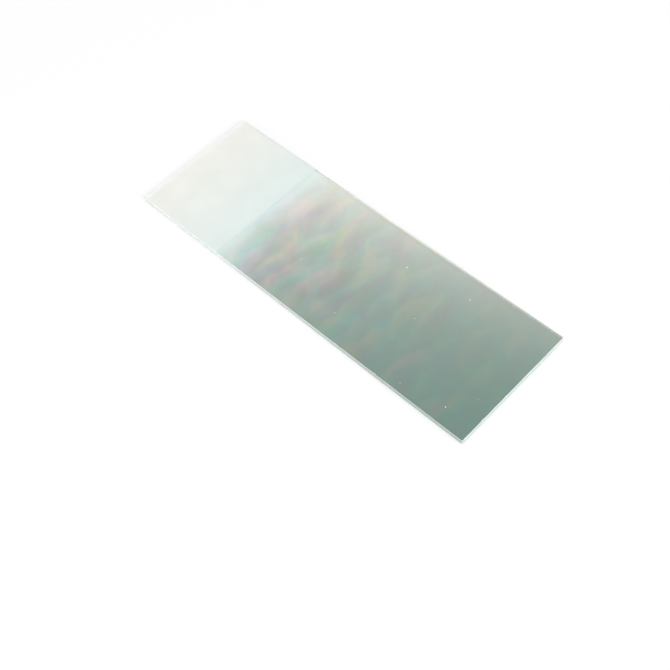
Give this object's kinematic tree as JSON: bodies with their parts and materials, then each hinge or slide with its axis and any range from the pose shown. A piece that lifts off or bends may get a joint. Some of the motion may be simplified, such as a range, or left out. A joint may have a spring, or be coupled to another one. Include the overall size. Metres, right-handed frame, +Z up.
{
  "type": "microscope slide",
  "caption": "Flat rectangle of thin clear glass with ground edges and one frosted end for writing, which carries a specimen under a microscope.",
  "frame": {"origin": "centre of the lower face, which the slide rests on", "axes": "+X along the length from the frosted end to the clear end, +Y across the width, +Z up out of the specimen face"},
  "size_m": [0.0762, 0.0254, 0.001],
  "materials": {
    "slide_glass": "polished clear faces, ground matt edges, and one face frosted for 20 mm at one end"
  },
  "bodies": {
    "root": {"glass_slide": "slide_glass"}
  },
  "joints": []
}
